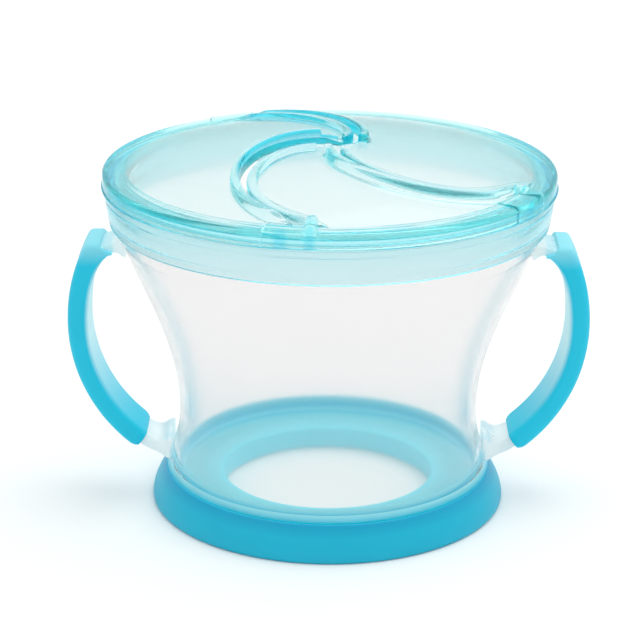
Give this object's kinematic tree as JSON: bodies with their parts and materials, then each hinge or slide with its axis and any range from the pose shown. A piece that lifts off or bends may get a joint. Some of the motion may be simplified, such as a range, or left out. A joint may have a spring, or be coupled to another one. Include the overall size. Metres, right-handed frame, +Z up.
{
  "type": "toddler snack container",
  "caption": "Clear hourglass cup with two soft-gripped side handles, a soft foot ring and a lift-off snap lid whose soft top is cut into swirling push-in flaps.",
  "frame": {"origin": "centre of the foot ring's flat underside, on the table", "axes": "+Z up along the cup's axis, +X through the right handle, -Y the side seen from the front"},
  "size_m": [0.1212, 0.105, 0.0894],
  "materials": {
    "clear_body": "clear, slightly milky",
    "soft_blue": "satin soft over-mould",
    "ring_tint": "satin, pale blue tint",
    "soft_top": "translucent soft top"
  },
  "bodies": {
    "cup": {"cup_shell": "clear_body", "foot_ring": "soft_blue", "left_grip": "soft_blue", "right_grip": "soft_blue"},
    "lid": {"snap_ring": "ring_tint", "soft_rim": "soft_top"},
    "flap_left": {"flap_left": "soft_top"},
    "flap_front": {"flap_front": "soft_top"},
    "flap_back": {"flap_back": "soft_top"}
  },
  "joints": [
    {"name": "lid_lift", "type": "slide", "parent": "cup", "child": "lid", "axis": [0, 0, 1], "range_m": [0, 0.06]},
    {"name": "flap_left_hinge", "type": "hinge", "parent": "lid", "child": "flap_left", "pos_m": [-0.01385, -0.00165, 0.08591], "axis": [-0.1185, 0.993, 0], "range_deg": [-20, 50], "stiffness_Nm_per_rad": 0.02},
    {"name": "flap_front_hinge", "type": "hinge", "parent": "lid", "child": "flap_front", "pos_m": [0.01595, -0.0333, 0.08264], "axis": [-0.9062, -0.4228, 0], "range_deg": [-20, 45], "stiffness_Nm_per_rad": 0.02},
    {"name": "flap_back_hinge", "type": "hinge", "parent": "lid", "child": "flap_back", "pos_m": [0.0108, 0.00985, 0.08585], "axis": [0.6855, -0.7281, 0], "range_deg": [-20, 50], "stiffness_Nm_per_rad": 0.02}
  ]
}
